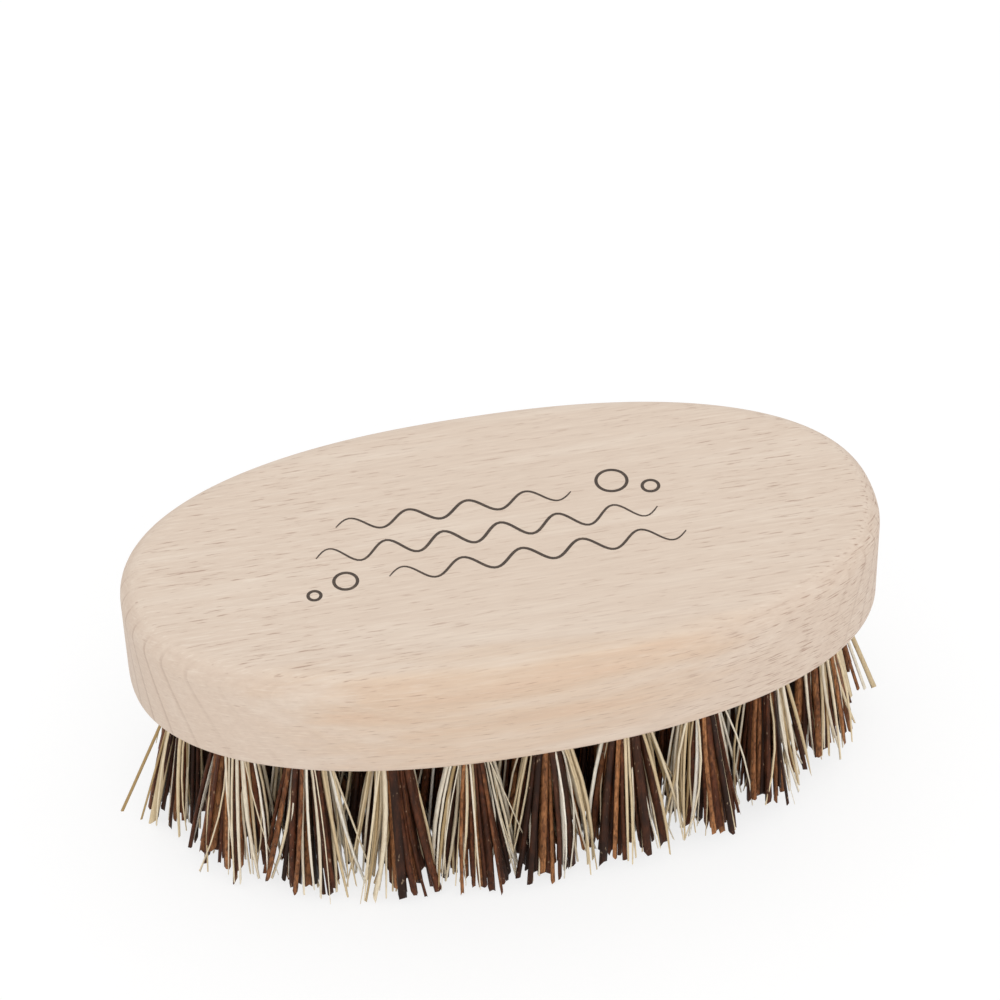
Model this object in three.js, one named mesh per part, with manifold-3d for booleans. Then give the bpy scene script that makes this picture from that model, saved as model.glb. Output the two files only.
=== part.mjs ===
// Mussel brush: an oval beech block with blind holes drilled in its underside. Each hole holds
// a tuft of stiff plant fibre, folded round a flat wire anchor that bites into the wall of the hole.
// Millimetres, +Z up. The brush stands on its bristle tips at z = 0, with the middle of the block above
// the origin and the block's length along X.
import * as THREE from "three";
import { mergeVertices } from "three/addons/utils/BufferGeometryUtils.js";
import Module from "manifold-3d";

const wasm = await Module();
wasm.setup();

// Block
const BLOCK_LENGTH = 115;
const BLOCK_WIDTH = 58;
const BLOCK_THICKNESS = 18;
const OVAL_POWER = 2.28; // 2 is an ellipse, and a higher power has fuller shoulders
const OVAL_SIDES = 96;
const TOP_EDGE_RADIUS = 3.5;
const TOP_EDGE_STEPS = 4;
const BOTTOM_EDGE_RADIUS = 1;
const BOTTOM_EDGE_STEPS = 2;

// Drilled holes
const HOLE_DIAMETER = 5.5;
const HOLE_DEPTH = 11;
const HOLE_SIDES = 12;
const DRILL_POINT = 1.2; // height of the cone that the drill's tip leaves

// Tufts
const TRIM_LENGTH = 28; // from the block's underside to the longest tips
const TRIM_STEP = 0.5; // strands fall short of the trim by whole steps
const TRIM_STEPS = 7; // how many lengths there are
const STRANDS_PER_TUFT = 10;
const STRAND_RADIUS = 0.48;
const STRAND_SIDES = 3;
const MOUTH_SPREAD = 1.75; // radius of the strand pattern at the hole's mouth
const TIP_SPREAD_ACROSS = 4.3; // half the strand pattern at the tips, across the row
const TIP_SPREAD_ALONG = 5.1; // the same along the row, where neighbouring tufts all but meet
const ROOT_CLEARANCE = 0.35; // between the packed root of a tuft and the wall of its hole
const ROOT_RECESS = 0.5; // the packed root ends this far inside the mouth
const ROOT_SIDES = 8;
const FOLD_HEIGHT = 1.3; // height of the rounded fold at the root's deep end

// Wire anchors
const ANCHOR_THICKNESS = 0.5;
const ANCHOR_WIDTH = 1.8; // along the hole
const ANCHOR_BITE = 0.5; // how far each end goes into the wood
const ANCHOR_DEPTH = 8.2; // from the mouth to the anchor's middle
const ANCHOR_CLEARANCE = 0.3;

// Rows of tufts, from the edge of the block to its middle. The outer row stands in from the long sides by the
// side inset and from the ends by the end inset. An oval row is evenly spaced, and starts at a share of the
// way round, counter-clockwise from the +X end. Leans are outwards, in degrees.
const SIDE_INSET = 6.5;
const END_INSET = 9;
const ROW_PITCH = 8.5;
const CENTRE_PITCH = 11.2;
const OVAL_ROWS = [
  { name: "outer", fromOuter: 0, start: 0.008, count: 20, lean: 7 },
  { name: "inner", fromOuter: ROW_PITCH, start: 0, count: 16, lean: 5 },
];
const CENTRE_ROW = { name: "centre", count: 6, lean: 0 };

const UNDERSIDE = TRIM_LENGTH;
const HOLE_RADIUS = HOLE_DIAMETER / 2;
const ROOT_RADIUS = HOLE_RADIUS - ROOT_CLEARANCE;
const ANCHOR_LENGTH = HOLE_DIAMETER + 2 * ANCHOR_BITE;
const GOLDEN_ANGLE = Math.PI * (3 - Math.sqrt(5));

const BEECH = new THREE.MeshStandardMaterial({ color: 0xddcbb8, roughness: 0.62, metalness: 0 });
const UNION_FIBRE = new THREE.MeshStandardMaterial({ color: 0x8a6a4c, roughness: 0.7, metalness: 0 });

// The block's outline, drawn in by one inset at its long sides and another at its ends. It is a closed curve
// that runs counter-clockwise from +X.
class InsetOval extends THREE.Curve {
  constructor(sideInset = 0, endInset = 0) {
    super();
    this.sideInset = sideInset;
    this.endInset = endInset;
    this.arcLengthDivisions = 800;
  }

  getPoint(t, target = new THREE.Vector3()) {
    const angle = 2 * Math.PI * t;
    const onAxis = (value) => Math.sign(value) * Math.abs(value) ** (2 / OVAL_POWER);
    const [u, v] = [onAxis(Math.cos(angle)), onAxis(Math.sin(angle))];
    const slope = (value, half) => (Math.sign(value) * Math.abs(value) ** (OVAL_POWER - 1)) / half;
    const [halfLength, halfWidth] = [BLOCK_LENGTH / 2, BLOCK_WIDTH / 2];
    const normal = new THREE.Vector2(slope(u, halfLength), slope(v, halfWidth)).normalize();
    const x = halfLength * u - this.endInset * normal.x;
    const y = halfWidth * v - this.sideInset * normal.y;
    return target.set(x, y, 0);
  }
}

// A closed three.js geometry as a solid that can be joined and cut.
function solidOf(geometry) {
  const flat = geometry.index ? geometry.toNonIndexed() : geometry;
  const bare = new THREE.BufferGeometry().setAttribute("position", flat.getAttribute("position"));
  const merged = mergeVertices(bare, 1e-4);
  const vertProperties = merged.getAttribute("position").array;
  const triVerts = new Uint32Array(merged.index.array);
  return new wasm.Manifold(new wasm.Mesh({ numProp: 3, vertProperties, triVerts }));
}

function geometryOf(solid) {
  const { vertProperties, triVerts } = solid.getMesh();
  const geometry = new THREE.BufferGeometry();
  geometry.setAttribute("position", new THREE.BufferAttribute(vertProperties, 3));
  geometry.setIndex(new THREE.BufferAttribute(triVerts, 1));
  geometry.computeVertexNormals();
  return geometry;
}

const joined = (solids) => solids.reduce((all, next) => all.add(next));

// A solid turned about Z, with its profile given as [radius, height] pairs from the top down.
function turned(profile, sides) {
  const points = profile.map(([radius, height]) => new THREE.Vector2(radius, height)).reverse();
  return new THREE.LatheGeometry(points, sides).rotateX(Math.PI / 2);
}

// The block's outline extruded between two heights, with both edges rounded by the same radius.
function roundedSlab(bottom, top, radius, steps) {
  const outline = new InsetOval().getPoints(OVAL_SIDES).slice(1);
  const slab = new THREE.ExtrudeGeometry(new THREE.Shape(outline), {
    depth: top - bottom - 2 * radius,
    bevelThickness: radius,
    bevelSize: radius,
    bevelOffset: -radius,
    bevelSegments: steps,
  });
  return slab.translate(0, 0, bottom + radius);
}

// Where each tuft stands: the mouth of its hole, the way it leans and by how much.
function tuftPlaces() {
  const onOvals = OVAL_ROWS.flatMap(({ name, fromOuter, start, count, lean }) => {
    const path = new InsetOval(SIDE_INSET + fromOuter, END_INSET + fromOuter);
    return Array.from({ length: count }, (_, number) => {
      const along = start + number / count;
      const tangent = path.getTangentAt(along);
      const turn = Math.atan2(-tangent.x, tangent.y);
      return { row: name, number, mouth: path.getPointAt(along), turn, lean };
    });
  });
  const { name, count, lean } = CENTRE_ROW;
  const onCentreLine = Array.from({ length: count }, (_, number) => {
    const mouth = new THREE.Vector3((number - (count - 1) / 2) * CENTRE_PITCH, 0, 0);
    return { row: name, number, mouth, turn: Math.PI / 2, lean };
  });
  return [...onOvals, ...onCentreLine];
}

// Shifts a geometry sideways in proportion to the depth below z = 0, so that level faces stay level.
const slanted = (geometry, x, y) =>
  geometry.applyMatrix4(new THREE.Matrix4().makeShear(0, 0, 0, 0, -x, -y));

const slopeOf = (lean) => Math.tan(THREE.MathUtils.degToRad(lean));

function anchorBar(clearance) {
  const bar = new THREE.BoxGeometry(
    ANCHOR_THICKNESS + 2 * clearance,
    ANCHOR_LENGTH + 2 * clearance,
    ANCHOR_WIDTH + 2 * clearance,
  );
  return bar.translate(0, 0, ANCHOR_DEPTH);
}

// What the drill and the anchor take out of the block at one tuft.
function holeCutter({ mouth, turn, lean }) {
  const flatsOnRadius = HOLE_RADIUS / Math.cos(Math.PI / HOLE_SIDES);
  const belowMouth = -1;
  const drill = turned(
    [
      [0, HOLE_DEPTH + DRILL_POINT],
      [flatsOnRadius, HOLE_DEPTH],
      [flatsOnRadius, belowMouth],
      [0, belowMouth],
    ],
    HOLE_SIDES,
  );
  const place = (geometry) =>
    solidOf(slanted(geometry, slopeOf(lean), 0).rotateZ(turn).translate(mouth.x, mouth.y, UNDERSIDE));
  return place(drill).add(place(anchorBar(ANCHOR_CLEARANCE)));
}

function block(places) {
  const top = UNDERSIDE + BLOCK_THICKNESS;
  const beyond = BLOCK_THICKNESS;
  const softTop = solidOf(roundedSlab(UNDERSIDE - beyond, top, TOP_EDGE_RADIUS, TOP_EDGE_STEPS));
  const crispBottom = solidOf(roundedSlab(UNDERSIDE, top + beyond, BOTTOM_EDGE_RADIUS, BOTTOM_EDGE_STEPS));
  const drilled = softTop.intersect(crispBottom).subtract(joined(places.map(holeCutter)));
  const mesh = new THREE.Mesh(geometryOf(drilled), BEECH);
  mesh.name = "wood_block";
  return mesh;
}

// How much shorter than the trim a strand is. Neighbouring strands and tufts differ.
const shortfall = (index, number) => TRIM_STEP * ((5 * index + 3 * number) % TRIM_STEPS);

// One strand of a tuft: a slanting prism from the packed root's end face to a level cut near the trim.
// Strands are spread like the seeds of a sunflower, and the pattern turns by a radian from tuft to tuft.
function strand(index, number, lean) {
  const share = Math.sqrt((index + 0.5) / STRANDS_PER_TUFT);
  const angle = index * GOLDEN_ANGLE + number;
  const [across, along] = [share * Math.cos(angle), share * Math.sin(angle)];
  const length = ROOT_RECESS + TRIM_LENGTH - shortfall(index, number);
  const circle = new THREE.EllipseCurve(0, 0, STRAND_RADIUS, STRAND_RADIUS);
  const section = new THREE.Shape(circle.getPoints(STRAND_SIDES).slice(1));
  const prism = new THREE.ExtrudeGeometry(section, { depth: length, bevelEnabled: false });
  prism.rotateZ(angle).translate(0, 0, -length);
  const fan = (tipSpread) => (tipSpread - MOUTH_SPREAD) / TRIM_LENGTH;
  slanted(prism, fan(TIP_SPREAD_ACROSS) * across + slopeOf(lean), fan(TIP_SPREAD_ALONG) * along);
  return solidOf(prism.translate(MOUTH_SPREAD * across, MOUTH_SPREAD * along, ROOT_RECESS));
}

// A tuft with its anchor: the packed root in the hole, folded at its deep end, and the free strands.
function tuft({ row, number, mouth, turn, lean }) {
  const root = turned(
    [
      [0, HOLE_DEPTH],
      [ROOT_RADIUS - FOLD_HEIGHT, HOLE_DEPTH],
      [ROOT_RADIUS, HOLE_DEPTH - FOLD_HEIGHT],
      [ROOT_RADIUS, ROOT_RECESS],
      [0, ROOT_RECESS],
    ],
    ROOT_SIDES,
  ).rotateZ(Math.PI / ROOT_SIDES);
  const strands = Array.from({ length: STRANDS_PER_TUFT }, (_, index) => strand(index, number, lean));
  const [packed, anchor] = [root, anchorBar(0)].map((piece) => solidOf(slanted(piece, slopeOf(lean), 0)));
  const mesh = new THREE.Mesh(geometryOf(joined([packed, anchor, ...strands])), UNION_FIBRE);
  mesh.name = `${row}_tuft_${String(number + 1).padStart(2, "0")}`;
  mesh.position.set(mouth.x, mouth.y, UNDERSIDE);
  mesh.rotation.z = turn;
  return mesh;
}

const places = tuftPlaces();
const brush = new THREE.Group();
brush.name = "mussel_brush";
brush.add(block(places));
const rows = new Map([...OVAL_ROWS, CENTRE_ROW].map(({ name }) => [name, new THREE.Group()]));
places.forEach((place) => rows.get(place.row).add(tuft(place)));
rows.forEach((row, name) => {
  row.name = `${name}_row`;
  brush.add(row);
});

export default brush;
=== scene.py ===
"""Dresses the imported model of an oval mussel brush: a raw beech block, tufts of mixed plant fibre on
wire anchors, and a printed top. Everything is in metres, in the frame of the CAD model, with +Z up."""

import math
import random
from collections import namedtuple

import bmesh
import bpy
from bpy.props import FloatProperty, FloatVectorProperty, IntProperty, PointerProperty
from mathutils import Matrix, Quaternion, Vector


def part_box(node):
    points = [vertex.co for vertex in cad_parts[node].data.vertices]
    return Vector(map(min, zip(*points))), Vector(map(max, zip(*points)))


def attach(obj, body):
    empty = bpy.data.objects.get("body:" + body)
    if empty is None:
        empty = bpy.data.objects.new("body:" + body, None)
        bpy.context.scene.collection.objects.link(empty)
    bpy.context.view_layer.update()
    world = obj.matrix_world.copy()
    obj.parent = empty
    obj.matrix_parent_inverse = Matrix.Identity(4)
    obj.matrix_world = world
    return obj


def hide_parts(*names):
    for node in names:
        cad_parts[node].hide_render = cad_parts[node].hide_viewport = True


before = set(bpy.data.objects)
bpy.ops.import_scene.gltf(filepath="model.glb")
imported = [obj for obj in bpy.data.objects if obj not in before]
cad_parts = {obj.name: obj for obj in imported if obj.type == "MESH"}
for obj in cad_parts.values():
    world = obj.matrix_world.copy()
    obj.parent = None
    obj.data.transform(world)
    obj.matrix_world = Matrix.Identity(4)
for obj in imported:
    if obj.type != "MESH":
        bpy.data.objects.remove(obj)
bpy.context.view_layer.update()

bl_info = {
    "name": "Mussel Brush",
    "version": (1, 0, 0),
    "blender": (4, 5, 0),
    "location": "View3D > Sidebar > Brush",
    "description": "Builds an oval beech brush with tufts of bassine and tampico",
    "category": "Object",
}

MM = 0.001
BODY = "root"

# What the CAD model says
BLOCK_LOW, BLOCK_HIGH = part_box("wood_block")
BLOCK_CENTRE = (BLOCK_LOW + BLOCK_HIGH) / 2
BLOCK_SIZE = BLOCK_HIGH - BLOCK_LOW
HALF_LENGTH = BLOCK_SIZE.x / 2
UNDERSIDE = BLOCK_LOW.z
TUFT_NODES = sorted(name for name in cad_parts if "_tuft_" in name)
ROOT_RECESS = 0.5 * MM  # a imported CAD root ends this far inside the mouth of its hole
LEVEL_REACH = 0.05 * MM  # how near to a level a CAD point counts as on it
LEAST_SLANT = 1e-3  # a hole that slants less than this has no way of its own

# Mesh fineness
OVAL_SIDES = 192
TOP_EDGE_STEPS = 10
BOTTOM_EDGE_STEPS = 4
ANCHOR_EDGE_STEPS = 2
FLAT_RIM = 0.8 * MM  # a narrow ring that keeps the shading of the flat faces flat
HOLE_SIDES = 24
DRILL_RUN_IN = 0.8 * MM  # the drill starts this far outside the block
SHARP_ANGLE = math.radians(40)
STALK_SIDES = 6
FIBRE_SIDES = 5
FIBRE_STEPS = 6  # the first step is inside the hole
MOUTH_SHARE = 1 / FIBRE_STEPS

GOLDEN_ANGLE = math.pi * (3 - math.sqrt(5))
FULL_TURN = 2 * math.pi


def linear(hex_colour):
    """An sRGB hex value as linear red, green and blue."""
    channels = [int(hex_colour[place : place + 2], 16) / 255 for place in (1, 3, 5)]
    return tuple(c / 12.92 if c <= 0.04045 else ((c + 0.055) / 1.055) ** 2.4 for c in channels)


def colour_setting(name, description, hex_colour):
    """A colour that a user can change, starting from an sRGB hex value."""
    return FloatVectorProperty(
        name=name,
        description=description,
        subtype="COLOR",
        size=3,
        min=0,
        max=1,
        default=linear(hex_colour),
    )


def length_setting(name, description, default):
    """A length that a user can change, in metres."""
    return FloatProperty(
        name=name, description=description, default=default, min=0, unit="LENGTH", precision=5
    )


def number_setting(name, description, default, least=0):
    """A plain number that a user can change."""
    return FloatProperty(name=name, description=description, default=default, min=least)


def count_setting(name, description, default):
    """A whole number that a user can change."""
    return IntProperty(name=name, description=description, default=default, min=0)


class BrushBlockSettings(bpy.types.PropertyGroup):
    """The wooden block."""

    length: length_setting("Length", "Length of the block along X", BLOCK_SIZE.x)
    width: length_setting("Width", "Width of the block along Y", BLOCK_SIZE.y)
    thickness: length_setting("Thickness", "Thickness of the block", BLOCK_SIZE.z)
    oval_power: number_setting("Oval power", "2 is an ellipse, and more has fuller shoulders", 2.28, 2)
    top_edge: length_setting("Top edge", "Radius of the rounded top edge", 3.5 * MM)
    bottom_edge: length_setting("Bottom edge", "Radius of the eased bottom edge", 1.0 * MM)
    hole_diameter: length_setting("Hole", "Diameter of the drilled holes", 5.5 * MM)
    hole_depth: length_setting("Hole depth", "Depth of the holes up to the drill's point", 11.0 * MM)
    drill_point: length_setting("Drill point", "Height of the cone that the drill leaves", 1.2 * MM)
    wood: colour_setting("Wood", "Raw beech between its rings", "#E2CFBD")
    warm_wood: colour_setting("Warm wood", "The tan growth along the front", "#E2C9B0")
    blush: colour_setting("Blush", "Reddish patches in that growth", "#DDB598")
    ring: colour_setting("Ring", "The late wood that ends each growth ring", "#B89F8D")
    fleck: colour_setting("Fleck", "The short dashes of the rays", "#AB8A77")
    # The pale colour goes on the bands and on the lines between the rays; those lines are partly the wood's
    # own pale streaks and partly painted highlight beside the dark dashes
    pale: colour_setting("Pale lines", "The wood between the rays", "#F0E2D2")
    # Painted shade: the colour of the sides is multiplied by this, which darkens the walls and edges that
    # the low lamp lights more than the top
    side: colour_setting("Painted side shade", "How much of the light the sides keep", "#F9F7F6")


class BrushTuftSettings(bpy.types.PropertyGroup):
    """The tufts of mixed fibre."""

    stalks: count_setting("Stalks", "Bassine stalks in an outer tuft", 33)
    fibres: count_setting("Fibres", "Tampico fibres in an outer tuft", 34)
    # Partly painted shade: the inner tufts hold mostly dark bassine, so that the gaps between the outer
    # tufts read as dark as the shade among the inner rows
    inner_stalks: count_setting("Inner stalks", "Stalks in any other tuft", 54)
    inner_fibres: count_setting("Inner fibres", "Fibres in any other tuft", 18)
    stalk_width: length_setting("Stalk width", "Mean width of a bassine stalk", 0.98 * MM)
    fibre_width: length_setting("Fibre width", "Mean width of a tampico fibre", 0.5 * MM)
    mouth_radius: length_setting("Mouth radius", "Radius of a tuft at its hole", 2.45 * MM)
    tip_along: length_setting("Tips along", "Half a tuft's width at its tips, along the row", 7.5 * MM)
    tip_across: length_setting("Tips across", "Half that width across the row", 4.9 * MM)
    inner_tips: length_setting("Inner tips", "The same in any other tuft, both ways", 8.2 * MM)
    trim_rise: length_setting("Trim rise", "How much shorter the tufts are at the +X end", 2.8 * MM)
    root_depth: length_setting("Root depth", "How far the fibres reach into the hole", 8.0 * MM)
    seed: count_setting("Seed", "Start of the random draws", 13)
    stalk_dark: colour_setting("Bassine, dark", "The darkest stalks", "#2A180F")
    stalk_mid: colour_setting("Bassine, middle", "The common stalks", "#6C3C24")
    stalk_light: colour_setting("Bassine, light", "The lightest stalks", "#BA7E50")
    stalk_speck: colour_setting("Bassine, specks", "Pale pith on torn stalks", "#CDB294")
    fibre_dark: colour_setting("Tampico, dark", "The darkest fibres", "#A5854F")
    fibre_mid: colour_setting("Tampico, middle", "The common fibres", "#EBD7B2")
    fibre_light: colour_setting("Tampico, light", "The palest fibres", "#FFFCF2")


class BrushAnchorSettings(bpy.types.PropertyGroup):
    """The flat wire anchors."""

    thickness: length_setting("Thickness", "Thickness of the flat wire", 0.5 * MM)
    width: length_setting("Width", "Width of the wire, along the hole", 1.8 * MM)
    length: length_setting("Length", "Length with the ends that bite into the wood", 6.5 * MM)
    depth: length_setting("Depth", "From the hole's mouth to the middle of the anchor", 8.2 * MM)
    steel: colour_setting("Steel", "Drawn and galvanised wire", "#B4B6B8")


class BrushPrintSettings(bpy.types.PropertyGroup):
    """The printed lines on the top."""

    line_width: length_setting("Line", "Width of a printed line", 0.5 * MM)
    ink_height: length_setting("Ink height", "Height of the ink over the wood", 0.02 * MM)
    ink: colour_setting("Ink", "Dark brown printing ink", "#4A3F37")
    thin_ink: colour_setting("Thin ink", "Ink that the grain has drunk in", "#8A7460")


class BrushStageSettings(bpy.types.PropertyGroup):
    """The floor, the lamps and the camera."""

    floor: colour_setting("Floor", "White paper floor", "#FFFFFF")
    floor_size: length_setting("Floor size", "Half the side of the floor", 4.0)
    sky: number_setting("Sky", "Strength of the even light from all round", 0.96)
    lamp_power: number_setting("Lamp", "Power of the low soft lamp in watts", 1.7)
    lens: number_setting("Lens", "Focal length on a 36 mm sensor", 137.093, 1)
    distance: length_setting("Distance", "From the camera to the point it looks at", 0.5634)


# Settings that many nodes share, and the sockets of the Mix node for numbers and for colours
ADD = {"operation": "ADD"}
SUBTRACT = {"operation": "SUBTRACT"}
MULTIPLY = {"operation": "MULTIPLY"}
MULTIPLY_ADD = {"operation": "MULTIPLY_ADD"}
ABSOLUTE = {"operation": "ABSOLUTE"}
MAXIMUM = {"operation": "MAXIMUM"}
SMOOTH = {"interpolation_type": "SMOOTHSTEP"}
COLOUR = {"data_type": "RGBA"}
COLOUR_TIMES = {"data_type": "RGBA", "blend_type": "MULTIPLY"}
MIX_FACTOR, NUMBER_A, NUMBER_B = 0, 2, 3
COLOUR_A, COLOUR_B, COLOUR_RESULT = 6, 7, 2
WHITE = (1, 1, 1)


def add_node(tree, kind, settings=None, inputs=None):
    """Adds a shader node with its settings. Each input is set to a value, or linked to a socket or to the
    first output of a node."""
    node = tree.nodes.new("ShaderNode" + kind)
    for name, value in (settings or {}).items():
        setattr(node, name, value)
    for name, value in (inputs or {}).items():
        if isinstance(value, bpy.types.Node):
            value = value.outputs[0]
        if isinstance(value, bpy.types.NodeSocket):
            tree.links.new(value, node.inputs[name])
        else:
            node.inputs[name].default_value = value
    return node


def new_material(name):
    """An empty node material and its tree."""
    material = bpy.data.materials.new(name)
    material.use_nodes = True
    material.node_tree.nodes.clear()
    return material, material.node_tree


def opaque(colour):
    """A colour with full alpha, as sockets take it."""
    return (*colour, 1)


def ramp(low, high, start=0.0, end=1.0):
    """The inputs of a range: as the value goes from low to high, the result goes from start to end."""
    return {"From Min": low, "From Max": high, "To Min": start, "To Max": end}


# Soft uneven marks: their size in millimetres along X, Y and Z, and how much finer detail they carry
Marks = namedtuple("Marks", "size detail roughness", defaults=(2.0, 0.5))


def uneven_marks(tree, place, kinds):
    """Adds a pattern for each kind of marks, and returns their nodes."""
    patterns = []
    for marks in kinds:
        per_metre = [1 / (length * MM) for length in marks.size]
        scaled = add_node(tree, "Mapping", inputs={"Vector": place, "Scale": per_metre})
        inputs = {"Vector": scaled, "Scale": 1.0, "Detail": marks.detail, "Roughness": marks.roughness}
        patterns.append(add_node(tree, "TexNoise", inputs=inputs))
    return patterns


def ranged(tree, layers):
    """Turns the value of each layer into a share by the layer's range, and keeps its colour."""
    return [
        (add_node(tree, "MapRange", inputs={"Value": value, **ramp(*reach)}), colour)
        for value, reach, colour in layers
    ]


def painted_over(tree, colour, layers):
    """A colour with others laid over it in turn, each by its share. Returns the last one's socket."""
    result = opaque(colour)
    for share, layer in layers:
        inputs = {MIX_FACTOR: share, COLOUR_A: result, COLOUR_B: opaque(layer)}
        result = add_node(tree, "Mix", COLOUR, inputs).outputs[COLOUR_RESULT]
    return result


def surfaced(material, look):
    """Gives a material its surface, from the inputs of the shader, and returns it."""
    tree = material.node_tree
    surface = add_node(tree, "BsdfPrincipled", inputs=look)
    add_node(tree, "OutputMaterial", inputs={"Surface": surface})
    return material


PLANT_IOR = 1.45  # of wood, plant fibre and dried oil

# Beech grain, as sizes of the real wood
PITH = Vector((0, 136.2 * MM, BLOCK_CENTRE.z - 38.1 * MM))  # the tree's middle, behind and below
ACROSS_GRAIN = Vector((0, 1, 1))
GRAIN_TILT = 0.04  # the grain runs off the block's length by this angle
TO_BARK = (BLOCK_CENTRE - PITH).normalized()
ACROSS_RAYS = Vector((0, TO_BARK.z, -TO_BARK.y))  # rays are thin sheets from the pith to the bark
SIDE_RADIUS = (BLOCK_SIZE.x + BLOCK_SIZE.y) / 4
RING_SPACING = 3.05 * MM
RING_WOBBLE = 0.5  # how far a ring wanders, in rings
WARM_WANDER = 9 * MM  # how far the warm growth's limit wanders with the bands
BLUSH_RADIUS = 170 * MM  # from the pith
PLAIN_MIDDLE = 8 * MM  # along the grain, where the rays show least
PORE_DEPTH = 0.06 * MM
PORE_STRENGTH = 0.6
BEECH_ROUGHNESS = (0, 1, 0.52, 0.72)
WOBBLE = Marks((90, 22, 22), 1.5, 0.4)
BANDS = Marks((32, 3.2, 3.2), 3.0)
GRAIN = Marks((9, 0.5, 0.5), 3.0, 0.6)
FLAT_RAYS = Marks((3.6, 0.3, 0.3))  # rays as the flat faces cut them
SIDE_RAYS = Marks((2.6, 0.25, 1000))  # along the rim and across, as the sides cut them; even in depth
BAND_MIDDLE = 0.5  # of the bands' noise

# Where the features of the wood begin and end, and how much they then show
LATE_WOOD = (0.82, 0.95)  # of a ring
END_GRAIN = (0.5, 0.85, 0.06, 0.48)  # ring lines, by how far a face looks along the grain
WARM_GROWTH = (164.4 * MM, 170.8 * MM, 0.0, 0.9)  # by the distance from the pith
BLUSH_REACH = (3.5 * MM, 0.5 * MM, 0.0, 0.22)  # by the distance from the blush's own radius
BLUSH_PATCHES = (0.48, 0.68)  # of the bands
PALE_BANDS = (0.5, 0.3, 0.0, 0.35)
DARK_GRAIN = (0.35, 0.75, 0.0, 0.2)
FLAT_FACES = (0.75, 0.92)  # by how far a face looks up or down
CROWDED_RAYS = (-0.6, 0.45, -0.07, 0.042)  # more rays, by how far a face looks to the +X end
RAY_STRENGTH = (5 * MM, 50 * MM, 0.4, 0.8)  # by the distance from the plain middle
LONG_SIDES = (0.85, 0.96, 1.0, 1.45)  # stronger flecks, by how far a face looks to the front or back
DARK_RAYS = (0.61, 0.74)
# Pale lines between the ray dashes: partly the wood's own pale streaks, partly painted highlight beside the
# dashes
PALE_RAYS_AND_HIGHLIGHTS = (0.45, 0.28, 0.0, 0.55)


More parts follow.
